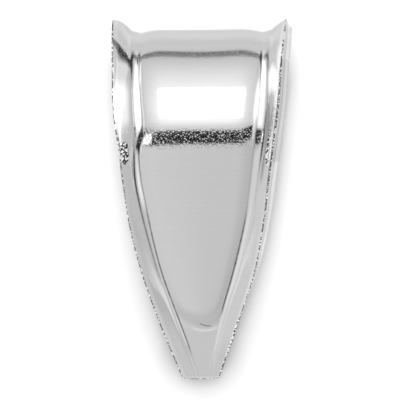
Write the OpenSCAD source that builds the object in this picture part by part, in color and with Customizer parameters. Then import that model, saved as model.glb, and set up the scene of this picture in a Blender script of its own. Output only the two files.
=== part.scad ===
// Bail finding: one strip of white metal, stamped with a raised panel and turned-up rims,
// folded into a teardrop loop for a chain, with its two tips soldered together.
// It lies on its back leaf: X runs across the strip, -Y points to the tip and +Z is up.
// Lengths are millimetres. Section heights are measured outwards from the strip's plain level.

/* [Loop] */
// Outer radius of the loop at the strip's plain level
loop_r = 2.2; // [1.8:0.05:2.8]
// Distance from the loop's centre to the end of the tip, along the bail's own axis
drop_len = 8.65; // [7.5:0.05:11]
// Length of the solder joint behind the end of the tips
solder_len = 0.3; // [0.15:0.05:0.5]

/* [Strip] */
// Thickness of the sheet
sheet_t = 0.3; // [0.2:0.01:0.4]
// Width of the strip over its rims, at the fold
fold_w = 5.5; // [4.6:0.1:7]
// Width of the strip at its tips
tip_w = 1.05; // [0.9:0.05:1.6]
// Radius of the tips' corners
tip_corner_r = 0.25; // [0.1:0.01:0.35]

/* [Rims] */
// Height of a rim's edge above the plain level
rim_rise = 0.42; // [0.2:0.01:0.5]
// Width of the cove between a rim's foot and the panel's foot
cove_w = 0.2; // [0.1:0.01:0.3]
// Length over which the rims run out before the tips
rim_run_out = 3.6; // [2:0.1:5]
// Plain length between the rims' end and the solder joint
tip_plain_len = 0.3; // [0.2:0.05:0.6]

/* [Panel] */
// Height of the raised panel's edge above the plain level
panel_rise = 0.11; // [0.05:0.01:0.2]
// Extra height of the panel's middle
panel_crown = 0.03; // [0:0.01:0.06]
// Distance from the strip's outline to the panel's foot
panel_inset = 0.64; // [0.5:0.01:0.8]
// Width of the sloping wall round the panel
panel_wall_w = 0.3; // [0.15:0.01:0.4]
// Distance from the rounded end of the panel to the end of the tip
panel_end_len = 1.65; // [1.3:0.05:2.5]
// Length of the panel's rounded end
panel_round_len = 0.6; // [0.4:0.05:1]

/* [Hidden] */

// Steps along the bend, the leaf, the panel's round end, the plain tip and the solder joint
bend_steps = 30;
leaf_steps = 22;
round_steps = 6;
tip_steps = 6;
joint_steps = 5;

// Columns of the shape table
AT = 0;
TAPER = 1;
INSET = 2;
COVE = 3;
WALL = 4;
// How the strip changes from the fold (0) to the end of its tip (1): the place along it, the share
// of the way from the fold's width to the tip's, and the shares of the panel's inset, the cove's
// width and the wall's width
SHAPE = [
    [0.00, 0.000, 1.20, 1.00, 1.20],
    [0.14, 0.034, 1.20, 1.00, 1.10],
    [0.31, 0.113, 1.12, 1.00, 0.90],
    [0.45, 0.204, 1.00, 0.90, 0.65],
    [0.59, 0.328, 1.00, 0.50, 0.60],
    [0.77, 0.570, 1.00, 0.25, 0.60],
    [0.89, 0.782, 1.00, 0.20, 0.60],
    [1.00, 1.000, 1.00, 0.20, 0.60]
];
// Places of the panel's columns, as shares of its half width, and of the rim's, as shares of the
// rim's width and of its rise
PANEL_COLUMNS = [0, 0.4, 0.75];
RIM_COLUMNS = [[0.18, 0.11], [0.55, 0.5]];
// Largest shares of the strip's half width that the panel's inset takes near the tips, and of the
// inset that the cove takes
inset_share = 0.75;
cove_share = 0.5;
// Smallest share of the panel's half width that its columns keep past its rounded end
round_share = 0.35;
// Largest share of the panel's half width that its wall takes
wall_share = 0.5;
// Largest share of the tip's width that a corner takes
corner_share = 0.45;
// Place of the inner wall's middle column under the panel and under the rim
inner_middle = 0.6;
// Lean of a rim's sheared edge, as a share of what a cut square to the sheet would have
shear_share = 0.65;

// Half the angle between the leaves, set by the inner faces meeting where the solder joint starts
lean = asin((loop_r - sheet_t) / (drop_len - solder_len));
bend_angle = 90 + lean;
bend_len = loop_r * bend_angle * PI / 180;
// Leaf lengths from the end of the bend to the solder joint, and to the end of the tip
joint_at = (loop_r - sheet_t) / tan(lean);
leaf_len = (drop_len - loop_r * sin(lean)) / cos(lean);
half_len = bend_len + leaf_len;
rim_end_at = joint_at - tip_plain_len;
panel_end_at = leaf_len - panel_end_len;
panel_round_at = panel_end_at - panel_round_len;
corner_r = min(tip_corner_r, corner_share * tip_w);
// The loop's centre above the surface that the back leaf's rims rest on
rest_z = loop_r + rim_rise;
// Shift that centres the bail along Y, from the tip's upper corner to the far side of the rims
tip_corner_z = loop_r / cos(lean) - drop_len * tan(lean);
centre_y = (drop_len * cos(lean) + tip_corner_z * sin(lean) - rest_z) / 2;

// Share between 0 and 1 that starts and stops gently
function gentle(x) = x <= 0 ? 0 : x >= 1 ? 1 : x * x * (3 - 2 * x);

// Slope of a column of the shape table at one of its rows: level at the fold, where the strip is
// symmetric, and the mean of its neighbours elsewhere
function table_slope(row, column) =
    let (
        last = len(SHAPE) - 1,
        before = max(row - 1, 0),
        after = min(row + 1, last)
    )
    row == 0 ? 0 : (SHAPE[after][column] - SHAPE[before][column]) / (SHAPE[after][AT] - SHAPE[before][AT]);

// Value of a column of the shape table at a place along the strip, on a smooth curve
function along(column, place) =
    let (
        rows = [for (i = [0 : len(SHAPE) - 2]) if (SHAPE[i][AT] <= place) i],
        row = len(rows) == 0 ? 0 : max(rows),
        span = SHAPE[row + 1][AT] - SHAPE[row][AT],
        t = (place - SHAPE[row][AT]) / span
    )
    SHAPE[row][column] * (2 * pow(t, 3) - 3 * pow(t, 2) + 1)
    + SHAPE[row + 1][column] * (3 * pow(t, 2) - 2 * pow(t, 3))
    + table_slope(row, column) * span * (pow(t, 3) - 2 * pow(t, 2) + t)
    + table_slope(row + 1, column) * span * (pow(t, 3) - pow(t, 2));

// A station is [angle round the loop from its far side, length along the leaf, is it the tip's end]
BEND = [for (i = [0 : bend_steps]) [bend_angle * i / bend_steps, 0, false]];
LEAF = [for (i = [1 : leaf_steps]) [bend_angle, panel_round_at * i / leaf_steps, false]];
ROUND = [for (i = [1 : round_steps])
    [bend_angle, panel_round_at + panel_round_len * sin(90 * i / round_steps), false]];
TIP = [for (i = [1 : tip_steps])
    [bend_angle, panel_end_at + (joint_at - panel_end_at) * i / tip_steps, false]];
JOINT = [for (i = [1 : joint_steps])
    [bend_angle, joint_at + (leaf_len - joint_at) * sin(90 * i / joint_steps), i == joint_steps]];
// From the fold to the solder joint, and on to the end of the tip
OPEN = concat(BEND, LEAF, ROUND, TIP);
HALF = concat(OPEN, JOINT);

// Place of a station along the strip, from 0 at the fold to 1 at the end of the tip
function place_of(station) = (loop_r * station[0] * PI / 180 + station[1]) / half_len;

// What a rounded corner takes off the half width, this far from the end of the tip
function corner_cut(to_end) =
    to_end >= corner_r ? 0 : corner_r - sqrt(pow(corner_r, 2) - pow(corner_r - max(to_end, 0), 2));

// Half the strip's width over its rims at a station
function half_w(station) =
    (fold_w + (tip_w - fold_w) * along(TAPER, place_of(station))) / 2
    - (station[0] < bend_angle ? 0 : corner_cut(leaf_len - station[1]));

// Heights of the rim's edge and of the panel at a station
function rim_h(station) = rim_rise * gentle((rim_end_at - station[1]) / rim_run_out);
function panel_share(station) = gentle((panel_end_at - station[1]) / panel_wall_w);

// Distance from the strip's outline to the panel's foot, while the panel lasts
function inset(station) =
    min(panel_inset * along(INSET, place_of(station)), inset_share * half_w(station));

// Distance from the middle line to the rim's foot
function rim_foot(station) =
    half_w(station) - inset(station)
    + min(cove_w * along(COVE, place_of(station)), cove_share * inset(station));

// Distance from the middle line to the panel's foot, which closes in at the panel's rounded end
function panel_foot(station) =
    let (past = max(0, station[1] - panel_round_at) / panel_round_len)
    (half_w(station) - inset(station)) * max(round_share, sqrt(max(0, 1 - past * past)));

// Distance from the middle line to the panel's top edge
function panel_top(station) =
    panel_foot(station) - min(panel_wall_w * along(WALL, place_of(station)), wall_share * panel_foot(station));

// Lean of the rim at a station, from its rise and its width less what its sheared edge takes
function rim_lean(station) =
    let (rise = rim_h(station), w = half_w(station) - rim_foot(station))
    atan(rise / (w - shear_share * sheet_t * sin(atan(rise / w))));

// Distance from the middle line to the upper corner of the rim's sheared edge
function rim_edge(station) = half_w(station) - shear_share * sheet_t * sin(rim_lean(station));

// Outer half section at a station, as [distance from the middle line, height], from the middle out
function outer_half(station) =
    let (
        top = panel_top(station),
        foot = panel_foot(station),
        rise = panel_rise * panel_share(station),
        crown = panel_crown * panel_share(station),
        rim_at = rim_foot(station),
        edge = rim_edge(station),
        rim = rim_h(station)
    )
    concat(
        [for (share = PANEL_COLUMNS) [top * share, rise + crown * (1 - share * share)]],
        [[top, rise], [(top + foot) / 2, rise / 2], [foot, 0], [rim_at, 0]],
        [for (c = RIM_COLUMNS) [rim_at + (edge - rim_at) * c[0], rim * c[1]]],
        [[edge, rim]]
    );

// Point of the sheet's inner face under a point of its outer face, whose normal leans outwards
function under(point, normal_lean) = point - sheet_t * [sin(normal_lean), cos(normal_lean)];

// Inner half section at a station, a sheet's thickness under the outer one
function inner_half(station) =
    let (
        top = panel_top(station),
        foot = panel_foot(station),
        rise = panel_rise * panel_share(station),
        crown = panel_crown * panel_share(station),
        wall_lean = atan(rise / (foot - top)),
        turn = rim_lean(station),
        rim_at = rim_foot(station),
        edge = rim_edge(station),
        rim = rim_h(station)
    )
    [
        under([0, rise + crown], 0),
        under([top * inner_middle, rise + crown * (1 - pow(inner_middle, 2))], 0),
        under([top, rise], wall_lean / 2),
        under([foot, 0], wall_lean / 2),
        under([rim_at, 0], -turn / 2),
        under([rim_at + (edge - rim_at) * inner_middle, rim * inner_middle], -turn),
        [half_w(station), rim - sheet_t * cos(turn)]
    ];

// Whole section from its half: the same points on both sides of the middle line
function both_sides(half) = concat([for (i = [len(half) - 1 : -1 : 1]) [-half[i][0], half[i][1]]], half);

// A section's point in the bail's own frame: the loop's centre at the origin and the tip along -Y.
// side is 1 on the front leaf and -1 on the back leaf.
function placed(station, side, point) =
    let (
        r = loop_r + point[1],
        d = station[2] ? (drop_len - r * sin(lean)) / cos(lean) : station[1]
    )
    [
        point[0],
        r * cos(station[0]) - d * cos(lean),
        side * (r * sin(station[0]) - d * sin(lean))
    ];

// Rows of points round the ring, from the front leaf's end over the fold to the back leaf's end
function ring(stations, inner) =
    let (n = len(stations) - 1)
    [for (i = [-n : n])
        let (
            station = stations[abs(i)],
            half = inner ? inner_half(station) : outer_half(station)
        )
        [for (point = both_sides(half)) placed(station, i < 0 ? 1 : -1, point)]
    ];

// Corners of a square of four point numbers, as two triangles
function two(a, b, c, d) = [[a, b, c], [a, c, d]];

// The strip as one closed solid. Its outer wall runs from tip to tip, and its inner wall is a closed
// ring whose first and last rows are the line where the leaves meet.
module folded_strip() {
    outer = ring(HALF, false);
    inner_all = ring(OPEN, true);
    inner = [for (i = [0 : len(inner_all) - 2]) inner_all[i]];
    outer_cols = len(outer[0]);
    inner_cols = len(inner[0]);
    outer_rows = len(outer);
    inner_rows = len(inner);
    // The seam between the tips' edges, from the solder joint to the end, on both sides
    seam = [for (station = JOINT)
        let (end = placed(station, 1, [half_w(station), 0]))
        for (x = [-end[0], end[0]]) [x, end[1], 0]
    ];
    points = concat(
        [for (row = outer) for (p = row) p],
        [for (row = inner) for (p = row) p],
        seam
    );
    inner_from = outer_rows * outer_cols;
    seam_from = inner_from + inner_rows * inner_cols;
    // Point numbers by row and column, and of the seam by its step and side, 0 left and 1 right
    function o(row, col) = row * outer_cols + col;
    function n(row, col) = inner_from + (row % inner_rows) * inner_cols + col;
    function s(step, side) = step == 0 ? n(0, side * (inner_cols - 1)) : seam_from + (step - 1) * 2 + side;
    last = outer_rows - 1;
    right = outer_cols - 1;
    inner_right = inner_cols - 1;
    outer_wall = [for (i = [0 : outer_rows - 2], j = [0 : right - 1])
        each two(o(i, j), o(i + 1, j), o(i + 1, j + 1), o(i, j + 1))];
    inner_wall = [for (i = [0 : inner_rows - 1], j = [0 : inner_right - 1])
        each two(n(i, j), n(i, j + 1), n(i + 1, j + 1), n(i + 1, j))];
    edges = [for (i = [0 : inner_rows - 1])
        let (row = i + joint_steps)
        each concat(
            two(o(row, 0), n(i, 0), n(i + 1, 0), o(row + 1, 0)),
            two(o(row, right), o(row + 1, right), n(i + 1, inner_right), n(i, inner_right))
        )];
    // Edges of the soldered tips: the front leaf's and the back leaf's, each down to the seam
    tip_edges = [for (i = [0 : joint_steps - 1])
        let (row = joint_steps - i, back = last - row)
        each concat(
            two(o(row, 0), o(row - 1, 0), s(i + 1, 0), s(i, 0)),
            two(o(row, right), s(i, 1), s(i + 1, 1), o(row - 1, right)),
            two(o(back, 0), s(i, 0), s(i + 1, 0), o(back + 1, 0)),
            two(o(back, right), o(back + 1, right), s(i + 1, 1), s(i, 1))
        )];
    // The flat end, whose outermost squares also take in the seam's last point
    end_face = concat(
        [for (j = [1 : right - 2]) each two(o(0, j), o(0, j + 1), o(last, j + 1), o(last, j))],
        two(s(joint_steps, 0), o(0, 0), o(0, 1), o(last, 1)),
        [[s(joint_steps, 0), o(last, 1), o(last, 0)]],
        two(s(joint_steps, 1), o(last, right), o(last, right - 1), o(0, right - 1)),
        [[s(joint_steps, 1), o(0, right - 1), o(0, right)]]
    );
    polyhedron(points, concat(outer_wall, inner_wall, edges, tip_edges, end_face), 2);
}

// The bail, turned so that its back leaf lies flat on its rims, centred on the origin
module bail() {
    color("silver")
        translate([0, centre_y, rest_z])
            rotate([lean, 0, 0])
                folded_strip();
}

bail();
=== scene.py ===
"""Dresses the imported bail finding: one stamped, folded and soldered strip of polished white metal.

The strip is made the way the real one is. A flat blank is cut to its outline, stamped with its
panel, coves and rims, given its thickness, folded round the loop, trimmed where the tips are
soldered, and laid on its back leaf. Blender lengths are metres; the classes hold millimetres.
"""

import logging
import math
from collections.abc import Callable, Iterable, Sequence
from dataclasses import dataclass, field
from enum import Enum

import bmesh
import bpy
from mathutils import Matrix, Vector


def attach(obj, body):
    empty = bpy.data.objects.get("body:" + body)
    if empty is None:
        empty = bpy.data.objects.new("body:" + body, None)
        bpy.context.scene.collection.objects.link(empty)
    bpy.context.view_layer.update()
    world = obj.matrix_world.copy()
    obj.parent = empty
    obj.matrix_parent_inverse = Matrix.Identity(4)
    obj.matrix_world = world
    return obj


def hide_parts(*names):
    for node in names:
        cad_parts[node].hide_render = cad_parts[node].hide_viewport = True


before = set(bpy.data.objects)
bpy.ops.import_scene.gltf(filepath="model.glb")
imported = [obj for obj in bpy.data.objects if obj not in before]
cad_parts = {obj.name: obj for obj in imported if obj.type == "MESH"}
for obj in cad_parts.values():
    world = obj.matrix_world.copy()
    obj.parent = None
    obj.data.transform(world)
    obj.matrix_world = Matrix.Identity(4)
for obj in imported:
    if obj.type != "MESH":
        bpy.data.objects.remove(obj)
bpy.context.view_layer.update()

MM = 0.001
# Two points closer than this, in metres, are one point
NEAR = 1e-8
# A row of points is picked within this distance, in metres
HAIR = 1e-6
LOG = logging.getLogger("bail")

# Amounts by place along the strip, which is 0 at the fold and 1 at the end of the tip
Knots = tuple[tuple[float, float], ...]
# A range with soft ends: where it starts, is full, starts to fade and stops
Band = tuple[float, float, float, float]


class Side(Enum):
    """The bail's two long sides, as the signs of X."""

    LEFT = -1
    RIGHT = 1


class Line(Enum):
    """The lines that run along the strip and carry its section, from the middle out."""

    MIDDLE = 0
    PANEL_INNER = 1
    PANEL_OUTER = 2
    PANEL_SHOULDER = 3
    PANEL_EDGE = 4
    WALL = 5
    PANEL_FOOT_IN = 6
    PANEL_FOOT = 7
    PANEL_FOOT_OUT = 8
    COVE = 9
    RIM_FOOT_IN = 10
    RIM_FOOT = 11
    RIM_FOOT_OUT = 12
    RIM_LOW = 13
    RIM_HIGH = 14
    RIM_CREST = 15
    RIM_EDGE_IN = 16
    RIM_EDGE = 17


class Mask(Enum):
    """Vertex attributes that the finish reads.

    They say where the strip is stretched by the bend, rough from the press, given painted shade
    or painted highlights along a crease, and sheared.
    """

    BEND = "bend"
    PRESS = "press"
    CREASE = "crease"
    SHEAR = "shear"


# ------------------------------------------------------------------ edit-mode work


def alone(piece: bpy.types.Object) -> None:
    """Selects one object, makes it the active one and deselects everything else.

    Args:
        piece: The object to work on.
    """
    if bpy.context.object and bpy.context.object.mode != "OBJECT":
        bpy.ops.object.mode_set(mode="OBJECT")
    bpy.ops.object.select_all(action="DESELECT")
    piece.select_set(True)
    bpy.context.view_layer.objects.active = piece


def pick(piece: bpy.types.Object, rule: Callable[[bmesh.types.BMVert], bool]) -> None:
    """Selects the vertices that a rule names, and nothing else, in edit mode.

    Args:
        piece: The object, in edit mode.
        rule: Says of a vertex whether it is taken.
    """
    net = bmesh.from_edit_mesh(piece.data)
    net.select_mode = {"VERT"}
    for vertex in net.verts:
        vertex.select = rule(vertex)
    net.select_flush_mode()
    bmesh.update_edit_mesh(piece.data, loop_triangles=False, destructive=False)


def shift(x: float, y: float, z: float) -> None:
    """Moves what is selected in edit mode, in metres."""
    bpy.ops.transform.translate(value=(x, y, z))


def apply(piece: bpy.types.Object, kind: str, **settings: object) -> None:
    """Adds a modifier to an object and applies it.

    Args:
        piece: The object.
        kind: Blender's name for the modifier's type.
        settings: The modifier's settings.
    """
    alone(piece)
    modifier = piece.modifiers.new(kind.lower(), kind)
    for name, value in settings.items():
        setattr(modifier, name, value)
    bpy.ops.object.modifier_apply(modifier=modifier.name)


def gentle(share: float) -> float:
    """Share between 0 and 1 that starts and stops gently."""
    share = min(max(share, 0.0), 1.0)
    return share * share * (3 - 2 * share)


def patch(start: float, full: float, fading: float, stop: float, amount: float) -> Knots:
    """Knots of an amount that holds between two places and is nothing beyond two others."""
    return ((start, 0.0), (full, amount), (fading, amount), (stop, 0.0))


def smooth(points: Sequence[tuple[float, float]], at: float) -> float:
    """Height at a place of a smooth curve through points.

    Args:
        points: Place and height of each point, from the first place to the last.
        at: The place that is asked for.

    Returns:
        The height there, or that of the nearest end beyond the points.
    """
    if at <= points[0][0]:
        return points[0][1]
    if at >= points[-1][0]:
        return points[-1][1]

    def slope(i: int) -> float:
        """Slope of the curve at one of its points."""
        (x0, y0), (x1, y1) = points[max(i - 1, 0)], points[min(i + 1, len(points) - 1)]
        return (y1 - y0) / (x1 - x0)

    i = max(i for i in range(len(points) - 1) if points[i][0] <= at)
    (x0, y0), (x1, y1) = points[i], points[i + 1]
    span = x1 - x0
    t = (at - x0) / span
    return (
        y0 * (2 * t**3 - 3 * t**2 + 1)
        + y1 * (3 * t**2 - 2 * t**3)
        + slope(i) * span * (t**3 - 2 * t**2 + t)
        + slope(i + 1) * span * (t**3 - t**2)
    )


# ------------------------------------------------------------------ the bail


@dataclass(frozen=True)
class Cut:
    """Half of the strip's section at one place: distances from the middle, in millimetres.

    The place is 0 at the fold and 1 at the end of the tip.
    """

    place: float
    edge: float
    rim_foot: float
    panel_foot: float
    rim_rise: float


CUTS = {
    Side.LEFT: (
        Cut(0.00, 2.70, 2.05, 1.82, 0.46),
        Cut(0.06, 2.69, 2.03, 1.83, 0.36),
        Cut(0.11, 2.68, 2.05, 1.84, 0.25),
        Cut(0.17, 2.66, 2.065, 1.84, 0.24),
        Cut(0.24, 2.65, 2.04, 1.81, 0.25),
        Cut(0.30, 2.57, 2.00, 1.75, 0.27),
        Cut(0.36, 2.46, 2.02, 1.88, 0.28),
        Cut(0.44, 2.375, 2.01, 1.83, 0.25),
        Cut(0.52, 2.285, 1.86, 1.68, 0.23),
        Cut(0.60, 2.135, 1.66, 1.52, 0.20),
        Cut(0.70, 1.865, 1.37, 1.26, 0.15),
        Cut(0.80, 1.515, 1.00, 0.89, 0.10),
        Cut(0.89, 1.165, 0.66, 0.54, 0.05),
        Cut(0.95, 0.90, 0.45, 0.32, 0.01),
        Cut(0.97, 0.82, 0.38, 0.26, 0.00),
        Cut(1.00, 0.70, 0.28, 0.17, 0.00),
    ),
    Side.RIGHT: (
        Cut(0.00, 2.66, 2.10, 1.90, 0.42),
        Cut(0.06, 2.61, 2.10, 1.90, 0.40),
        Cut(0.11, 2.55, 2.10, 1.90, 0.36),
        Cut(0.17, 2.50, 2.12, 1.90, 0.35),
        Cut(0.24, 2.43, 2.08, 1.80, 0.345),
        Cut(0.30, 2.31, 2.00, 1.74, 0.345),
        Cut(0.36, 2.21, 1.90, 1.66, 0.33),
        Cut(0.44, 2.08, 1.76, 1.55, 0.285),
        Cut(0.52, 1.97, 1.62, 1.42, 0.25),
        Cut(0.60, 1.82, 1.42, 1.23, 0.22),
        Cut(0.70, 1.60, 1.14, 0.94, 0.15),
        Cut(0.80, 1.22, 0.76, 0.60, 0.10),
        Cut(0.89, 0.89, 0.48, 0.36, 0.05),
        Cut(0.95, 0.64, 0.31, 0.20, 0.01),
        Cut(0.97, 0.56, 0.25, 0.15, 0.00),
        Cut(1.00, 0.45, 0.15, 0.08, 0.00),
    ),
}
# Width of the panel's rounding, rise of its edge and further rise of its middle, by place
SHOULDERS: Knots = (
    (0.0, 0.72), (0.3, 0.66), (0.36, 0.5), (0.45, 0.45), (0.6, 0.36), (0.8, 0.25), (1.0, 0.1),
)
PANEL_RISES: Knots = (
    (0.0, 0.13), (0.06, 0.11), (0.12, 0.055), (0.3, 0.05), (0.45, 0.05), (0.6, 0.045),
    (0.8, 0.035), (1.0, 0.02),
)
PANEL_CROWNS: Knots = (
    (0.0, -0.05), (0.04, -0.04), (0.16, 0.04), (0.45, 0.04), (0.65, 0.05), (1.0, 0.05),
)
# Rim's profile, first at the fold and then from the bend on, as shares of its width and rise
RIMS = {
    Side.LEFT: {
        Line.RIM_LOW: ((0.21, 0.30), (0.22, 0.32)),
        Line.RIM_HIGH: ((0.48, 0.78), (0.48, 0.64)),
        Line.RIM_CREST: ((0.71, 0.98), (0.70, 0.91)),
        Line.RIM_EDGE_IN: ((0.90, 1.00), (0.90, 1.08)),
    },
    Side.RIGHT: {
        Line.RIM_LOW: ((0.28, 0.30), (0.28, 0.22)),
        Line.RIM_HIGH: ((0.55, 0.62), (0.55, 0.43)),
        Line.RIM_CREST: ((0.78, 0.86), (0.78, 0.65)),
        Line.RIM_EDGE_IN: ((0.90, 0.95), (0.90, 0.81)),
    },
}
# Painted reflection in the right cove: a painted highlight, then a black blob of painted shade
COVE_PAINTED_REFLECTION: Knots = (
    (0.10, 0.0), (0.13, -1.0), (0.285, -1.0), (0.30, 0.0), (0.312, 1.5), (0.335, 1.5), (0.35, 0.0),
)
# Painted shade along the creases, by place, in place of their shade and dark reflections; below
# zero, a painted highlight
PAINTED_CREASE_LIGHT: dict[tuple[Side, Line], Knots] = {
    (Side.LEFT, Line.RIM_FOOT): (
        (0.10, 0.0), (0.125, 1.0), (0.16, 0.9), (0.18, 0.35), (0.29, 0.15), (0.34, 0.2),
        (0.36, 0.5), (0.385, 0.9), (0.46, 0.8), (0.50, 0.6), (0.66, 0.4), (0.70, 0.3), (0.75, 0.0),
    ),
    (Side.LEFT, Line.PANEL_FOOT): (
        (0.09, 0.0), (0.115, 0.4), (0.14, 0.4), (0.16, 0.2), (0.22, 0.15), (0.26, 0.35),
        (0.301, 0.45), (0.313, 1.5), (0.345, 1.5), (0.36, 0.7), (0.40, 0.5), (0.50, 0.35),
        (0.56, 0.5), (0.90, 0.5), (0.925, 0.0),
    ),
    (Side.LEFT, Line.PANEL_FOOT_IN): patch(0.298, 0.308, 0.316, 0.326, 1.2),
    (Side.LEFT, Line.PANEL_FOOT_OUT): (
        (0.10, 0.0), (0.13, -1.0), (0.30, -1.0), (0.314, 0.0), (0.325, 1.5), (0.343, 1.5),
        (0.356, 0.0), (0.38, -1.0), (0.48, -1.0), (0.53, 0.0),
    ),
    (Side.LEFT, Line.COVE): (
        (0.10, 0.0), (0.13, -1.0), (0.30, -1.0), (0.32, 0.0), (0.335, 0.8), (0.346, 0.8),
        (0.358, 0.0), (0.38, -1.0), (0.48, -1.0), (0.53, 0.0),
    ),
    (Side.RIGHT, Line.PANEL_FOOT_OUT): COVE_PAINTED_REFLECTION,
    (Side.RIGHT, Line.COVE): COVE_PAINTED_REFLECTION,
    (Side.RIGHT, Line.RIM_LOW): (
        (0.19, 0.0), (0.23, 0.12), (0.34, 0.2), (0.37, 0.35), (0.42, 0.3), (0.46, 0.0),
    ),
    (Side.RIGHT, Line.RIM_CREST): patch(0.08, 0.12, 0.35, 0.40, -1.0),
    (Side.RIGHT, Line.RIM_EDGE_IN): patch(0.08, 0.12, 0.35, 0.40, -0.8),
    (Side.RIGHT, Line.PANEL_FOOT): (
        (0.09, 0.0), (0.115, 0.7), (0.14, 0.7), (0.16, 0.4), (0.19, 0.2), (0.28, 0.2), (0.33, 0.3),
        (0.37, 0.15), (0.51, 0.1), (0.55, 0.4), (0.58, 0.6), (0.80, 0.6), (0.825, 0.0),
    ),
    (Side.RIGHT, Line.RIM_FOOT): (
        (0.09, 0.0), (0.115, 0.5), (0.14, 0.6), (0.16, 0.3), (0.22, 0.2), (0.26, 0.45), (0.30, 0.6),
        (0.33, 0.9), (0.36, 0.8), (0.385, 0.5), (0.42, 0.2), (0.50, 0.1), (0.53, 0.0),
    ),
}
# Where the metal is rough from the press, by place: a patch on each rim, and the right edge's end
PRESS_MARKS: dict[tuple[Side, Line], Knots] = {
    (Side.LEFT, Line.RIM_HIGH): patch(0.325, 0.34, 0.37, 0.385, 0.8),
    (Side.LEFT, Line.RIM_CREST): patch(0.325, 0.34, 0.37, 0.385, 1.0),
    (Side.LEFT, Line.RIM_EDGE_IN): patch(0.325, 0.34, 0.37, 0.385, 0.4),
    (Side.RIGHT, Line.RIM_HIGH): patch(0.28, 0.32, 0.38, 0.41, 0.6),
    (Side.RIGHT, Line.RIM_CREST): ((0.20, 0.0), (0.24, 0.5), (0.32, 0.8), (0.38, 0.8), (0.41, 0.0)),
    (Side.RIGHT, Line.RIM_EDGE_IN): ((0.80, 0.0), (0.84, 0.6), (1.0, 0.6)),
}
# Shear mask next to an edge, which sets how wide its burr is, and on the sheet's inner face, so
# that the mask falls through zero over the sheared edge
BURR_NEAR = {Side.LEFT: 0.5, Side.RIGHT: 0.35}
INNER_FACE = -1.5


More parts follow.
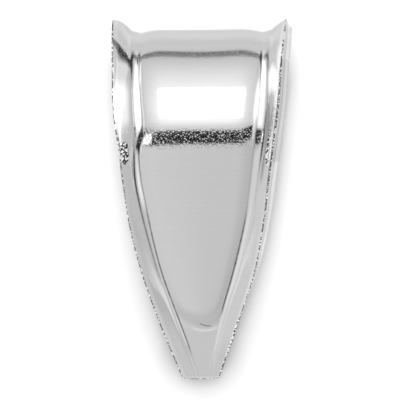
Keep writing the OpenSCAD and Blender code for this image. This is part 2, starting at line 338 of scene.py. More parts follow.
@dataclass
class FoldedStrip:
    """The whole bail, from its flat blank to its soldered teardrop. Sizes in millimetres."""

    loop_r: float = 2.2
    drop_len: float = 8.65
    solder_len: float = 0.3
    sheet_t: float = 0.3
    fold_w: float = 5.5
    tip_corner_r: float = 0.17
    rim_rise: float = 0.42

    # Panel: its step at the foot, its end, and the most of its half that the rounding takes
    panel_step: float = 0.2
    panel_end_len: float = 1.65
    panel_round_len: float = 0.6
    panel_fade_len: float = 0.7
    shoulder_most: float = 0.8

    # Places where the relief deepens from the fold on, and where the rim has its later profile
    deep_from: float = 0.085
    deep_over: float = 0.04
    rim_change: float = 0.12

    # Feet: half width of their tight bends, how much wider these are at the fold, the most of the
    # rim, the panel's half and the cove that they take, the groove in them, the cove's height from
    # which it is full, and the rim's first lift
    hold: float = 0.04
    fold_softness: float = 4.0
    hold_most: tuple[float, float, float] = (0.15, 0.1, 0.45)
    groove: float = 0.012
    groove_full: float = 0.03
    rim_lift: float = 0.07
    cove_slope: float = 0.27

    # Masks: how far the grain runs past the bend and fades, and the burr's width at the tip
    grain_past: float = 0.8
    grain_fade: float = 0.3
    tip_burr: float = 0.04

    # Rows of the blank, and the last part of the bend, which is eased into the leaf
    bend_rows: int = 11
    leaf_rows: int = 25
    corner_rows: int = 3
    ease_deg: float = 10.0
    ease_len: float = 1.0
    smooth_deg: float = 50.0

    lean: float = field(init=False)
    bend_angle: float = field(init=False)
    bend_len: float = field(init=False)
    leaf_len: float = field(init=False)
    half_len: float = field(init=False)
    rest_z: float = field(init=False)
    centre_y: float = field(init=False)
    piece: bpy.types.Object = field(init=False)

    def __post_init__(self) -> None:
        """Works out the angles and lengths that follow from the sizes."""
        self.lean = math.asin((self.loop_r - self.sheet_t) / (self.drop_len - self.solder_len))
        self.bend_angle = math.pi / 2 + self.lean
        self.bend_len = self.loop_r * self.bend_angle
        self.leaf_len = (self.drop_len - self.loop_r * math.sin(self.lean)) / math.cos(self.lean)
        self.half_len = self.bend_len + self.leaf_len
        self.rest_z = self.loop_r + self.rim_rise
        corner_z = self.loop_r / math.cos(self.lean) - self.drop_len * math.tan(self.lean)
        self.centre_y = (
            self.drop_len * math.cos(self.lean) + corner_z * math.sin(self.lean) - self.rest_z
        ) / 2

    def stations(self) -> list[float]:
        """Distances of the blank's rows from the fold."""
        bend, half, r = self.bend_len, self.half_len, self.tip_corner_r
        rows = [bend * i / self.bend_rows for i in range(self.bend_rows + 1)]
        flat = half - r - bend
        rows += [bend + flat * i / self.leaf_rows for i in range(1, self.leaf_rows + 1)]
        rows += [
            half - r + r * math.sin(math.pi / 2 * i / self.corner_rows)
            for i in range(1, self.corner_rows + 1)
        ]
        return rows

    def section(self, s: float, side: Side) -> dict[Line, tuple[float, float]]:
        """Half section of the strip's outer face.

        Args:
            s: Distance from the fold.
            side: The half that is asked for.

        Returns:
            For each line, its distance from the middle and its height.
        """
        place = s / self.half_len
        edge, rim_foot, foot, rim = (
            smooth([(cut.place, getattr(cut, name)) for cut in CUTS[side]], place)
            for name in ("edge", "rim_foot", "panel_foot", "rim_rise")
        )
        rim = max(rim, 0.0)
        past = s - (self.half_len - self.tip_corner_r)
        if past > 0:
            edge -= self.tip_corner_r - math.sqrt(max(self.tip_corner_r**2 - past**2, 0))
        shoulder = min(smooth(SHOULDERS, place), self.shoulder_most * foot)
        rise, crown = smooth(PANEL_RISES, place), smooth(PANEL_CROWNS, place)
        deep = gentle((place - self.deep_from) / self.deep_over)
        step = self.panel_step * rise * deep
        groove = self.groove * deep
        wide = edge - rim_foot
        most = zip(self.hold_most, (wide, foot, rim_foot - foot))
        soft = self.hold * (self.fold_softness - (self.fold_softness - 1) * deep)
        hold = min(soft, *(share * width for share, width in most))
        cove = min(self.cove_slope * (rim_foot - foot), rim)

        def fade(x: float) -> float:
            """Share of the panel's relief that is left, as its end is rounded."""
            back = self.panel_round_len * (1 - math.sqrt(max(0.0, 1 - (x / foot) ** 2)))
            end = self.half_len - self.panel_end_len - back
            return gentle((end - s) / self.panel_fade_len)

        def on_panel(inward: float) -> tuple[float, float]:
            """Place on the panel, as a share of its rounding's width in from its foot."""
            x = foot - inward * shoulder
            dome = 1 - (1 - min(inward, 1.0)) ** 2
            high = step + (rise - step) * dome + crown * (1 - (x / foot) ** 2)
            return x, high * fade(x)

        def on_rim(line: Line) -> tuple[float, float]:
            """Place on the rim, whose profile changes from the fold to the bend."""
            (out0, up0), (out1, up1) = RIMS[side][line]
            t = gentle(place / self.rim_change)
            out, up = out0 + (out1 - out0) * t, up0 + (up1 - up0) * t
            return rim_foot + out * wide, cove + up * (rim - cove)

        middle = foot / shoulder
        return {
            Line.MIDDLE: (0.0, on_panel(middle)[1]),
            Line.PANEL_INNER: on_panel((middle + 1) / 2),
            Line.PANEL_OUTER: on_panel(1.0),
            Line.PANEL_SHOULDER: on_panel(0.75),
            Line.PANEL_EDGE: on_panel(0.5),
            Line.WALL: on_panel(0.25),
            Line.PANEL_FOOT_IN: on_panel(hold / shoulder),
            Line.PANEL_FOOT: (foot, -groove * fade(0)),
            Line.PANEL_FOOT_OUT: (foot + hold, self.cove_slope * hold),
            Line.COVE: ((foot + rim_foot) / 2, cove / 2),
            Line.RIM_FOOT_IN: (rim_foot - hold, cove - self.cove_slope * hold),
            Line.RIM_FOOT: (rim_foot, cove - groove * min(1.0, cove / self.groove_full)),
            Line.RIM_FOOT_OUT: (rim_foot + hold, cove + self.rim_lift * (rim - cove)),
            Line.RIM_LOW: on_rim(Line.RIM_LOW),
            Line.RIM_HIGH: on_rim(Line.RIM_HIGH),
            Line.RIM_CREST: on_rim(Line.RIM_CREST),
            Line.RIM_EDGE_IN: on_rim(Line.RIM_EDGE_IN),
            Line.RIM_EDGE: (edge, rim),
        }

    def cut_blank(self) -> None:
        """Adds the flat blank of the strip's front half, with a row for each station."""
        wide, long = self.fold_w * MM, self.half_len * MM
        bpy.ops.object.select_all(action="DESELECT")
        bpy.ops.mesh.primitive_grid_add(
            x_subdivisions=2 * (len(Line) - 1),
            y_subdivisions=len(self.stations()) - 1,
            size=1,
            location=(0, -long / 2, 0),
        )
        self.piece = bpy.context.object
        self.piece.name = self.piece.data.name = "folded_strip"
        alone(self.piece)
        bpy.ops.object.mode_set(mode="EDIT")
        bpy.ops.mesh.select_all(action="SELECT")
        bpy.ops.transform.resize(value=(wide, long, 1))
        bpy.ops.object.mode_set(mode="OBJECT")
        bpy.ops.object.transform_apply(location=True, rotation=True, scale=True)

    def stamp(self) -> None:
        """Moves each crossing of a row and a line to its place in the outline and the relief."""
        rows, lines = self.stations(), list(Line)
        alone(self.piece)
        bpy.ops.object.mode_set(mode="EDIT")
        net = bmesh.from_edit_mesh(self.piece.data)
        net.verts.ensure_lookup_table()
        step_x = self.fold_w / 2 * MM / (len(lines) - 1)
        step_y = self.half_len * MM / (len(rows) - 1)
        grid = {}
        for vertex in net.verts:
            grid[round(-vertex.co.y / step_y), round(vertex.co.x / step_x)] = vertex.index
            vertex.select = False
        net.select_flush(False)
        for i, s in enumerate(rows):
            for side in Side:
                section = self.section(s, side)
                for j, line in enumerate(lines):
                    x, z = section[line]
                    net = bmesh.from_edit_mesh(self.piece.data)
                    net.verts.ensure_lookup_table()
                    vertex = net.verts[grid[i, side.value * j]]
                    vertex.select = True
                    place = vertex.co.copy()
                    shift(side.value * x * MM - place.x, -s * MM - place.y, z * MM - place.z)
                    vertex.select = False
        bpy.ops.object.mode_set(mode="OBJECT")
        for mask in Mask:
            layer = self.piece.data.attributes.new(mask.value, "FLOAT", "POINT")
            for i, s in enumerate(rows):
                for j, line in enumerate(lines):
                    for side in Side:
                        layer.data[grid[i, side.value * j]].value = self.mask(mask, s, line, side)

    def mask(self, mask: Mask, s: float, line: Line, side: Side) -> float:
        """Value of a mask at a crossing of a row and a line.

        Args:
            mask: The mask.
            s: The row's distance from the fold.
            line: The line.
            side: The side that the line is on.

        Returns:
            The value: mostly from 0 to 1, up to 1.5 where the painted shade of the creases is
            darkest, and below 0 where it is a painted highlight.
        """
        place = s / self.half_len
        if mask is Mask.BEND:
            return gentle((self.bend_len + self.grain_past - s) / self.grain_fade)
        if mask is Mask.PRESS:
            marks = PRESS_MARKS.get((side, line))
            return smooth(marks, place) if marks else 0.0
        if mask is Mask.CREASE:
            knots = PAINTED_CREASE_LIGHT.get((side, line))
            return smooth(knots, place) if knots else 0.0
        if line is Line.RIM_EDGE or s > self.half_len - NEAR:
            return 1.0
        if line is Line.RIM_EDGE_IN or s > self.half_len - self.tip_burr:
            return BURR_NEAR[side]
        return 0.0

    def give_thickness(self) -> None:
        """Mirrors and smooths the stamped quarter, and gives the sheet its thickness."""
        piece = self.piece
        apply(piece, "MIRROR", use_axis=(False, True, False), merge_threshold=10 * NEAR)
        apply(
            piece,
            "SUBSURF",
            levels=2,
            render_levels=2,
            boundary_smooth="PRESERVE_CORNERS",
        )
        face_points = len(piece.data.vertices)
        apply(piece, "SOLIDIFY", thickness=self.sheet_t * MM, offset=-1, use_even_offset=False)
        shear = piece.data.attributes[Mask.SHEAR.value].data
        for i in range(face_points, 2 * face_points):
            shear[i].value = INNER_FACE
        alone(piece)
        bpy.ops.object.mode_set(mode="EDIT")
        pick(piece, lambda v: abs(v.co.y) < HAIR)
        bpy.ops.transform.resize(value=(1, 0, 1), center_override=(0, 0, 0))
        bpy.ops.mesh.select_all(action="SELECT")
        bpy.ops.mesh.bisect(
            plane_co=(0, 0, 0), plane_no=(0, 1, 0), clear_outer=True, threshold=NEAR
        )
        bpy.ops.object.mode_set(mode="OBJECT")

    def fold(self) -> None:
        """Turns the flat half strip up on edge and bends it round the loop."""
        alone(self.piece)
        self.piece.rotation_euler.x = -math.pi / 2
        bpy.ops.object.transform_apply(location=True, rotation=True, scale=True)
        tall = self.height_of_blank()
        ease = math.radians(self.ease_deg)
        stands_out = self.ease_len * ease / 2 - self.loop_r * (1 - math.cos(ease))
        tight = self.bend_angle - ease + stands_out / self.leaf_len
        tight_len = self.loop_r * tight
        bpy.ops.object.empty_add(location=(0, 0, tight_len * MM))
        start = bpy.context.object
        settings = {"deform_method": "BEND", "deform_axis": "X"}
        apply(
            self.piece,
            "SIMPLE_DEFORM",
            origin=start,
            angle=-math.radians(self.ease_deg),
            limits=(tight_len / tall, (tight_len + self.ease_len) / tall),
            **settings,
        )
        alone(start)
        bpy.ops.object.delete()
        apply(
            self.piece,
            "SIMPLE_DEFORM",
            angle=-tight,
            limits=(0, tight_len / self.height_of_blank()),
            **settings,
        )
        alone(self.piece)
        self.piece.location.y = self.loop_r * MM
        bpy.ops.object.transform_apply(location=True, rotation=True, scale=True)

    def height_of_blank(self) -> float:
        """Height of the blank as it stands on edge, in millimetres."""
        return max(v.co.z for v in self.piece.data.vertices) / MM

    def solder_tips(self) -> None:
        """Trims the tip, cuts the leaf where it meets the other one, and joins the two halves."""
        piece, end = self.piece, -self.drop_len * MM
        alone(piece)
        bpy.ops.object.mode_set(mode="EDIT")
        axis = Vector((0, -math.cos(self.lean), -math.sin(self.lean)))
        reach = max(v.co.dot(axis) for v in bmesh.from_edit_mesh(piece.data).verts)
        pick(piece, lambda v: v.co.dot(axis) > reach - 2 * HAIR)
        bpy.ops.transform.resize(value=(1, 0, 1), center_override=(0, end, 0))
        bpy.ops.mesh.select_all(action="SELECT")
        bpy.ops.mesh.bisect(
            plane_co=(0, 0, 0), plane_no=(0, 0, 1), clear_inner=True, threshold=NEAR
        )
        bpy.ops.object.mode_set(mode="OBJECT")
        apply(piece, "MIRROR", use_axis=(False, False, True), merge_threshold=10 * NEAR)
        alone(piece)
        bpy.ops.object.mode_set(mode="EDIT")
        bpy.ops.mesh.select_all(action="SELECT")
        bpy.ops.mesh.normals_make_consistent(inside=False)
        bpy.ops.object.mode_set(mode="OBJECT")

    def lay_down(self) -> None:
        """Turns the bail so that its back leaf lies flat, and puts it where the CAD says."""
        alone(self.piece)
        self.piece.rotation_euler.x = self.lean
        self.piece.location = (0, self.centre_y * MM, self.rest_z * MM)
        bpy.ops.object.transform_apply(location=True, rotation=True, scale=True)
        self.piece.location.z = -min(v.co.z for v in self.piece.data.vertices)
        bpy.ops.object.transform_apply(location=True, rotation=True, scale=True)
        bpy.ops.object.shade_smooth_by_angle(angle=math.radians(self.smooth_deg))

    def build(self) -> bpy.types.Object:
        """Makes the bail, step by step.

        Returns:
            The finished piece.
        """
        self.cut_blank()
        self.stamp()
        self.give_thickness()
        self.fold()
        self.solder_tips()
        self.lay_down()
        return self.piece


# ------------------------------------------------------------------ materials


@dataclass(frozen=True)
class Speckle:
    """Noise with a soft threshold: its lumps' size, in millimetres, and its start and full."""

    size: float
    start: float
    full: float


class Graph:
    """A node tree, with one way to add any node."""

    def __init__(self, tree: bpy.types.NodeTree) -> None:
        """Takes a tree and empties it.

        Args:
            tree: The node tree of a material or of the world.
        """
        self.tree = tree
        tree.nodes.clear()

    def node(
        self, kind: str, settings: dict[str, object] | None = None, **inputs: object
    ) -> bpy.types.Node:
        """Adds a node, sets it and then fills its sockets.

        Args:
            kind: Blender's class name of the node.
            settings: The node's own settings, and "stops" for a ramp, as (place, value) pairs.
            inputs: Value or link of each socket, by its name with "_" for a space, or "_0" and so
                on for its number.

        Returns:
            The node.
        """
        node = self.tree.nodes.new(kind)
        for name, value in (settings or {}).items():
            if name == "stops":
                self.set_stops(node.color_ramp, value)
            else:
                setattr(node, name, value)
        for name, value in inputs.items():
            key = int(name[1:]) if name[0] == "_" else name.replace("_", " ")
            socket = node.inputs[key]
            if isinstance(value, Value):
                self.tree.links.new(value.socket, socket)
            elif isinstance(value, bpy.types.NodeSocket):
                self.tree.links.new(value, socket)
            else:
                socket.default_value = value
        return node

    @staticmethod
    def set_stops(ramp: bpy.types.ColorRamp, stops: Iterable[tuple[float, float]]) -> None:
        """Sets a ramp's stops to greys.

        Args:
            ramp: The ramp.
            stops: Place and grey of each stop.
        """
        stops = list(stops)
        while len(ramp.elements) < len(stops):
            ramp.elements.new(1.0)
        for element, (place, grey) in zip(ramp.elements, stops):
            element.position = place
            element.color = (grey, grey, grey, 1)

    def attribute(self, name: str) -> "Value":
        """A vertex attribute's number."""
        made = self.node("ShaderNodeAttribute", {"attribute_name": name})
        return Value(self, made.outputs["Fac"])

    def noise(self, place: bpy.types.NodeSocket, size: float, detail: float) -> "Value":
        """Adds noise.

        Args:
            place: The coordinates that it reads.
            size: The size of its lumps, in millimetres.
            detail: How much finer noise it holds.

        Returns:
            The noise, between 0 and 1.
        """
        scale = 1 / (size * MM)
        made = self.node("ShaderNodeTexNoise", None, Vector=place, Scale=scale, Detail=detail)
        return Value(self, made.outputs["Fac"])

    def speckle(self, place: bpy.types.NodeSocket, kind: Speckle) -> "Value":
        """Noise with a soft threshold."""
        return self.noise(place, kind.size, 0.0).ease(kind.start, kind.full)


class Value:
    """A number in a node tree, which Python's operators work on."""

    def __init__(self, graph: Graph, socket: bpy.types.NodeSocket) -> None:
        """Wraps a socket.

        Args:
            graph: The graph that the socket is in.
            socket: The output socket.
        """
        self.graph, self.socket = graph, socket

    def do(self, operation: str, *others: "Value | float") -> "Value":
        """Adds a Math node on this number and others.

        Args:
            operation: The Math node's operation.
            others: Its other inputs.

        Returns:
            The result.
        """
        inputs = {f"_{i}": value for i, value in enumerate((self, *others))}
        node = self.graph.node("ShaderNodeMath", {"operation": operation}, **inputs)
        return Value(self.graph, node.outputs[0])

    def __add__(self, other: "Value | float") -> "Value":
        """This number plus another."""
        return self.do("ADD", other)

    __radd__ = __add__

    def __mul__(self, other: "Value | float") -> "Value":
        """This number times another."""
        return self.do("MULTIPLY", other)

    __rmul__ = __mul__

    def __sub__(self, other: "Value | float") -> "Value":
        """This number less another."""
        return self.do("SUBTRACT", other)

    def __rsub__(self, other: float) -> "Value":
        """A plain number less this one."""
        return self.do("MULTIPLY", -1).do("ADD", other)

    def __truediv__(self, other: "Value | float") -> "Value":
        """This number over another."""
        return self.do("DIVIDE", other)

    def __abs__(self) -> "Value":
        """This number without its sign."""
        return self.do("ABSOLUTE")

    def ease(self, start: float, stop: float) -> "Value":
        """Share that rises smoothly from 0 at start to 1 at stop, or falls if stop is less."""
        node = self.graph.node(
            "ShaderNodeMapRange",
            {"interpolation_type": "SMOOTHSTEP"},
            Value=self,
            From_Min=start,
            From_Max=stop,
        )
        return Value(self.graph, node.outputs[0])

    def within(self, start: float, full: float, fading: float, stop: float) -> "Value":
        """Share that is 1 inside a range with soft ends, and 0 outside it."""
        return self.ease(start, full) * self.ease(stop, fading)

    def at_least(self, low: float) -> "Value":
        """This number, or the lowest that it may be."""
        return self.do("MAXIMUM", low)

    def at_most(self, high: float) -> "Value":
        """This number, or the highest that it may be."""
        return self.do("MINIMUM", high)


@dataclass(frozen=True)
class Stroke:
    """Part of a thin ring on the front leaf, seen from above, in millimetres.

    It fades in from the first y to the second, and shows inside a range of x, if one is given.
    Its strength is how much lighter it makes the metal, a painted highlight, or, below zero, how
    much darker, a painted shade.
    """

    centre: tuple[float, float]
    radius: float
    half_width: float
    strength: float
    y: tuple[float, float]
    x: Band | None = None
    core: float = 0.2

    def tone(
        self, graph: Graph, place: bpy.types.NodeSocket, across: Value, along: Value
    ) -> Value:
        """What the metal's tone is multiplied by.

        Args:
            graph: The material's graph.
            place: Object coordinates.
            across: Their x, in millimetres.
            along: Their y, in millimetres.

        Returns:
            The factor, which is 1 away from the stroke.
        """
        flat = graph.node("ShaderNodeVectorMath", {"operation": "MULTIPLY"}, _0=place, _1=(1, 1, 0))
        centre = (self.centre[0] * MM, self.centre[1] * MM, 0)
        off = graph.node(
            "ShaderNodeVectorMath", {"operation": "DISTANCE"}, _0=flat.outputs[0], _1=centre
        )
        half = self.half_width * MM
        away = abs(Value(graph, off.outputs["Value"]) - self.radius * MM)
        share = away.ease(half, half * self.core)
        share = share * along.ease(*self.y)
        if self.x:
            share = share * across.within(*self.x)
        return share * self.strength + 1


# Painted shadow of a dent at the end of the panel, and a painted highlight on the rounding below it
PAINTED_DENT_LIGHT = (
    Stroke((0.14, -3.44), 0.46, 0.03, -0.5, y=(-3.4, -3.5), x=(-0.15, -0.08, 0.16, 0.26)),
    Stroke((0.03, -3.38), 0.66, 0.08, 0.2, y=(-3.85, -4.02)),
)


@dataclass(frozen=True)
class WhiteMetal:
    """Polished white metal, grainy where the bend stretched it and gritty where it was sheared.

    Its colour holds painted shade and painted highlights along the creases, on the curls, at the
    panel's end and on the sheared face. Sizes and the places of the two bands, along y, are in
    millimetres.
    """

    tone: float = 0.62
    edge_tone: float = 0.72
    roughness: float = 0.05

    # Grain of the bend: coarse in the worked band, and enough to break up the horizon's line
    grain_size: float = 0.04
    grain_height: float = 0.0007
    grain_least: float = 0.15
    dots: Speckle = Speckle(0.04, 0.57, 0.75)
    dot_weight: float = 1.5
    dot_roughness: float = 0.22
    worked: Band = (1.42, 1.72, 2.08, 2.20)
    horizon: Band = (4.15, 4.35, 4.65, 4.85)
    horizon_grain: float = 0.45

    # Curls of metal that the press left: bumps, with painted shade and painted highlights in their
    # colour
    curl_size: float = 0.065
    curl_height: float = 0.02
    curl_from: tuple[float, float] = (0.2, 0.5)
    curl_shade: tuple[float, float] = (0.49, 0.56)
    curl_shine: tuple[float, float] = (0.44, 0.38)
    curl_shine_gain: float = 1.2

    # Painted shade in the creases, patchy and with gaps where it is darkest, and painted highlights
    painted_shade_least: float = 0.06
    painted_shade_gain: float = 1.5
    shade_patch_size: float = 0.15
    shade_patch_least: float = 0.55
    shade_patch_spread: float = 0.9
    shade_gaps: Speckle = Speckle(0.06, 0.6, 0.7)
    shade_gaps_from: tuple[float, float] = (0.6, 1.0)
    shade_gap_depth: float = 0.6
    painted_highlight_gain: float = 0.5

    # Faint lines across the sheet
    draw_way: tuple[float, float, float] = (0.04, 1.0, 0.3)
    draw_size: float = 0.07
    draw_contrast: float = 0.05

    # Sheared edge, by the shear mask: the burr, the fracture line and the face below it, made
    # lighter as a painted highlight
    burr_from: tuple[float, float] = (0.5, 0.85)
    burr: Speckle = Speckle(0.06, 0.47, 0.66)
    burr_least: float = 0.1
    burr_spread: float = 0.85
    burr_roughness: float = 0.25
    crack: Band = (-0.3, -0.15, -0.1, 0.05)
    crack_tone: float = -0.35
    sheared: Band = (-1.45, -1.1, -0.1, 0.0)
    sheared_face_highlight: float = 0.2

    def material(self) -> bpy.types.Material:
        """Makes the material.

        Returns:
            The material.
        """
        made = bpy.data.materials.new("polished_white_metal")
        made.use_nodes = True
        graph = Graph(made.node_tree)
        place = graph.node("ShaderNodeTexCoord").outputs["Object"]
        parts = graph.node("ShaderNodeSeparateXYZ", None, Vector=place).outputs
        across, along = (Value(graph, parts[axis]) / MM for axis in "XY")
        bend, press, crease, shear = (graph.attribute(mask.value) for mask in Mask)

        worked = along.within(*self.worked)
        dots = graph.speckle(place, self.dots)
        grain = graph.noise(place, self.grain_size, 1.0) + dots * self.dot_weight
        spread = worked * (1 - self.grain_least) + along.within(*self.horizon) * self.horizon_grain
        grain = grain * bend * (spread + self.grain_least)
        curls = graph.noise(place, self.curl_size, 0.0)
        height = grain * self.grain_height + curls * press.at_least(0.0) * self.curl_height
        bump = graph.node("ShaderNodeBump", None, Strength=1.0, Distance=MM, Height=height)

        # Painted shade and painted highlights: the crease mask and the curls darken or lighten the
        # metal's colour
        marked = press.ease(*self.curl_from)
        shade_patches = graph.noise(place, self.shade_patch_size, 2.0) * self.shade_patch_spread + self.shade_patch_least
        shade_gaps = graph.speckle(place, self.shade_gaps) * crease.ease(*self.shade_gaps_from) * self.shade_gap_depth
        dark = (crease * shade_patches * self.painted_shade_gain).at_most(1.0) * (1 - shade_gaps)
        dark = (dark + marked * curls.ease(*self.curl_shade)).at_least(0.0).at_most(1.0)
        painted_curl_highlight = marked * curls.ease(*self.curl_shine) * self.curl_shine_gain
        painted_highlight = (crease * -1.0).at_least(0.0) + painted_curl_highlight

        drawn = graph.node(
            "ShaderNodeVectorMath", {"operation": "MULTIPLY"}, _0=place, _1=self.draw_way
        )
        lines = graph.noise(drawn.outputs[0], self.draw_size, 2.0)
        tone = (lines - 0.5) * self.draw_contrast + 1.0
        # Painted shadow of a dent and painted highlight below it
        for stroke in PAINTED_DENT_LIGHT:
            tone = tone * stroke.tone(graph, place, across, along)
        tone = tone * (shear.within(*self.crack) * self.crack_tone + 1)
        # Painted highlight: the sheared face below the edge is made lighter
        tone = tone * (shear.within(*self.sheared) * self.sheared_face_highlight + 1)
        clean = (1 - dark * (1 - self.painted_shade_least) + painted_highlight * self.painted_highlight_gain) * tone * self.tone

        burr = shear.ease(*self.burr_from)
        specks = graph.speckle(place, self.burr) * self.burr_spread + self.burr_least
        gritty = burr * self.burr_roughness + dots * bend.at_most(1.0) * worked * self.dot_roughness
        shader = graph.node(
            "ShaderNodeBsdfPrincipled",
            None,
            Base_Color=clean * (1 - burr) + specks * burr,
            Metallic=1.0,
            Specular_Tint=(self.edge_tone, self.edge_tone, self.edge_tone, 1),
            Roughness=gritty + self.roughness,
            Normal=bump.outputs[0],
        )
        graph.node("ShaderNodeOutputMaterial", None, Surface=shader.outputs[0])
        return made


@dataclass(frozen=True)
class PaleBoard:
    """Matt white board under the bail, lit a little from behind, with a painted pool of light on it.

    Lengths are in metres. Contact is how near the metal has to be for the painted contact shadow to
    darken the board.
    """

    tone: float = 0.57
    pool: float = 0.28
    pool_at: tuple[float, float, float] = (0.0, 0.0025, 0.0)
    pool_in: float = 0.002
    pool_out: float = 0.012
    contact: float = 0.0011
    contact_samples: int = 16
    roughness: float = 0.9
    glow: float = 0.12

    def material(self) -> bpy.types.Material:
        """Makes the material.

        Returns:
            The material.
        """
        made = bpy.data.materials.new("pale_board")
        made.use_nodes = True
        graph = Graph(made.node_tree)
        place = graph.node("ShaderNodeTexCoord").outputs["Object"]
        far = graph.node(
            "ShaderNodeVectorMath", {"operation": "DISTANCE"}, _0=place, _1=self.pool_at
        )
        # Painted pool of light: the board's colour is lighter near the bail
        lit = Value(graph, far.outputs["Value"]).ease(self.pool_out, self.pool_in)
        # Painted contact shadow: the board's colour is darkened where the metal is near
        painted_contact_shadow = graph.node(
            "ShaderNodeAmbientOcclusion", {"samples": self.contact_samples}, Distance=self.contact
        )
        shader = graph.node(
            "ShaderNodeBsdfPrincipled",
            None,
            Base_Color=(lit * self.pool + self.tone) * Value(graph, painted_contact_shadow.outputs["AO"]),
            Roughness=self.roughness,
            Emission_Color=(1, 1, 1, 1),
            Emission_Strength=self.glow,
        )
        graph.node("ShaderNodeOutputMaterial", None, Surface=shader.outputs[0])
        return made


# ------------------------------------------------------------------ studio


# Distance from x = 0 over which a card's sag comes in
SAG_OVER = (0.08, 0.3)


@dataclass(frozen=True)
class Card:
    """A lamp or a dark card round the bail, as the metal mirrors it.

    Directions are given by their x and by an angle in degrees: their turn about the X axis, 0
    straight up and 90 to the loop's side, or, for a card by the leaf, the angle above the plane
    square to the leaf, which is the same for all that the leaf mirrors. A card with a sag has its
    angles lower by that many degrees at its sides.
    """

    x: Band
    angle: Band
    light: float
    both_sides: bool = False
    by_leaf: bool = False
    sag: float = 0.0

    def share(self, x: Value, turn: Value, over_leaf: Value) -> Value:
        """How much of the card fills a direction.

        Args:
            x: The direction's x.
            turn: Its turn about the X axis, in degrees.
            over_leaf: Its angle above the plane square to the leaf, in degrees.

        Returns:
            A share from 0 to 1.
        """
        across = abs(x) if self.both_sides else x
        angle = over_leaf if self.by_leaf else turn
        if self.sag:
            angle = angle + abs(x).ease(*SAG_OVER) * self.sag
        return across.within(*self.x) * angle.within(*self.angle)


LAMPS = {
    "overhead": Card((-0.2, -0.1, 0.07, 0.15), (-24, -16, 12, 28), 5.5, both_sides=True),
    "coves": Card((0.37, 0.41, 0.60, 0.66), (-56, -46, 72, 80), 0.3, both_sides=True),
    "left rim": Card((0.22, 0.34, 0.6, 0.84), (-48, -18, 16, 52), 0.7),
    "right rim": Card((-0.97, -0.9, -0.66, -0.4), (26, 50, 74, 92), 0.7),
    "glint": Card((-0.42, -0.38, -0.24, -0.2), (10.0, 11.0, 15.8, 17.2), 2.0, by_leaf=True),
    "leaf's left": Card((-0.95, -0.8, -0.14, 0.0), (18, 22, 34, 42), 0.07, by_leaf=True),
}
DARK_CARDS = {
    "band": Card(
        (-0.46, -0.42, 0.26, 0.31), (9.8, 11.0, 18.6, 20.4), 0.97, by_leaf=True, sag=2.0
    ),
    "leaf's right": Card((0.02, 0.3, 0.6, 0.75), (18, 22, 34, 42), 0.10, by_leaf=True),
    "left rim's back": Card((0.35, 0.5, 0.68, 0.76), (68, 76, 88, 91), 0.75),
    "right rim's foot": Card((-1.0, -0.99, -0.95, -0.92), (-95, -90, 10, 25), 0.35),
}
# The leaf's direction as it lies, from the bend to the tip: its y and z
LEAF_WAY = (-0.8965, -0.4431)


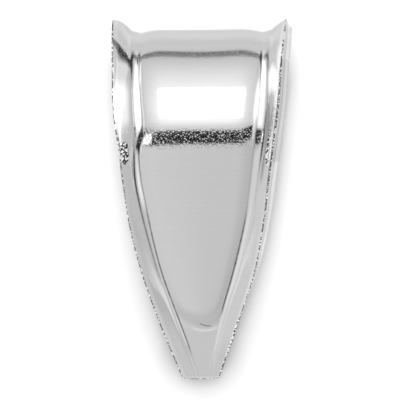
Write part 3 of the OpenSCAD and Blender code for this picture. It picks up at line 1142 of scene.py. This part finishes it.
@dataclass
class Studio:
    """Floor, soft light and camera, as the photograph has them."""

    floor_side: float = 0.6

    # Camera: it looks down on a point above the floor, in millimetres, and sees a field in metres
    lens: float = 1200.0
    sensor: float = 36.0
    field: float = 0.0123
    roll_deg: float = 1.7
    yaw_deg: float = -0.46
    aim: tuple[float, float, float] = (-0.06, -0.02, 2.6)
    nearest: float = 0.01
    farthest: float = 10.0

    # Light, by direction: its tone, how that falls with x, where the brighter part is and fades
    # with x, the x over which the darker part reaches, and the ring's tone by turn in degrees
    brightness: float = 1.195
    base: float = 0.78
    fall: float = 0.045
    bright_at: float = -0.03
    bright_fade: tuple[float, float] = (0.02, 0.38)
    dark_reach: Band = (-0.6, -0.35, 0.68, 0.82)
    ring: tuple[tuple[float, float], ...] = (
        (-180, 0.70),
        (-66, 0.72),
        (-58, 0.81),
        (-49, 0.82),
        (-43, 0.90),
        (-35, 0.95),
        (-28, 1.38),
        (-10, 1.55),
        (7, 1.50),
        (30, 1.30),
        (47, 1.12),
        (62, 0.95),
        (73.5, 0.84),
        (77.5, 0.76),
        (80.5, 0.34),
        (86.5, 0.22),
        (90.5, 0.87),
        (180, 0.87),
    )

    def lay_floor(self) -> None:
        """Adds the pale floor."""
        bpy.ops.object.select_all(action="DESELECT")
        bpy.ops.mesh.primitive_plane_add(size=self.floor_side, location=(0, 0, 0))
        floor = bpy.context.object
        floor.name = "floor"
        floor.data.materials.append(PaleBoard().material())

    def light(self) -> None:
        """Makes the soft light that surrounds the bail, with the darker bands that it mirrors."""
        world = bpy.data.worlds.new("soft_light")
        bpy.context.scene.world = world
        world.use_nodes = True
        graph = Graph(world.node_tree)
        way = graph.node("ShaderNodeTexCoord").outputs["Generated"]
        parts = graph.node("ShaderNodeSeparateXYZ", None, Vector=way)
        x, y, z = (Value(graph, socket) for socket in parts.outputs)
        turn = y.do("ARCTAN2", z) * (180 / math.pi)
        ramp = graph.node(
            "ShaderNodeValToRGB",
            {"stops": [((angle + 180) / 360, tone / 2) for angle, tone in self.ring]},
            Fac=turn / 360 + 0.5,
        )
        ring = Value(graph, ramp.outputs["Color"]) * 2 - self.base
        brighter = ring.at_least(0.0) * (1 - abs(x - self.bright_at).ease(*self.bright_fade))
        darker = ring.at_most(0.0) * x.within(*self.dark_reach)
        tone = brighter + darker + self.base - x * self.fall
        over_leaf = (y * LEAF_WAY[0] + z * LEAF_WAY[1]).do("ARCSINE") * (180 / math.pi)
        for card in DARK_CARDS.values():
            tone = tone * (1 - card.share(x, turn, over_leaf) * card.light)
        for card in LAMPS.values():
            tone = tone + card.share(x, turn, over_leaf) * card.light
        light = graph.node("ShaderNodeBackground", None, Color=tone, Strength=self.brightness)
        seen = graph.node("ShaderNodeBackground", None, Color=(1, 1, 1, 1), Strength=1.0)
        path = graph.node("ShaderNodeLightPath").outputs["Is Camera Ray"]
        both = graph.node(
            "ShaderNodeMixShader", None, _0=path, _1=light.outputs[0], _2=seen.outputs[0]
        )
        graph.node("ShaderNodeOutputWorld", None, Surface=both.outputs[0])

    def place_camera(self) -> None:
        """Puts the camera above the bail, a little to its right, and makes it the scene's."""
        data = bpy.data.cameras.new("camera")
        data.type = "PERSP"
        data.lens = self.lens
        data.sensor_width = self.sensor
        data.clip_start, data.clip_end = self.nearest, self.farthest
        camera = bpy.data.objects.new("camera", data)
        bpy.context.scene.collection.objects.link(camera)
        camera.rotation_euler = (0, math.radians(self.roll_deg), math.radians(self.yaw_deg))
        up = camera.rotation_euler.to_matrix() @ Vector((0, 0, 1))
        camera.location = Vector(self.aim) * MM + up * (self.field * self.lens / self.sensor)
        bpy.context.scene.camera = camera

    def build(self) -> None:
        """Sets up the whole studio."""
        self.place_camera()
        self.lay_floor()
        self.light()
        bpy.context.scene.view_settings.view_transform = "Standard"


def main() -> None:
    """Builds the studio and the bail, and says what stands for what."""
    logging.basicConfig(level=logging.INFO, format="%(name)s: %(message)s")
    Studio().build()
    LOG.info("studio set up")
    strip = FoldedStrip().build()
    strip.data.materials.append(WhiteMetal().material())
    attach(strip, "root")
    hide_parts("bail")
    mesh = strip.data
    LOG.info("folded_strip: %d vertices, %d faces", len(mesh.vertices), len(mesh.polygons))


if __name__ == "__main__":
    main()
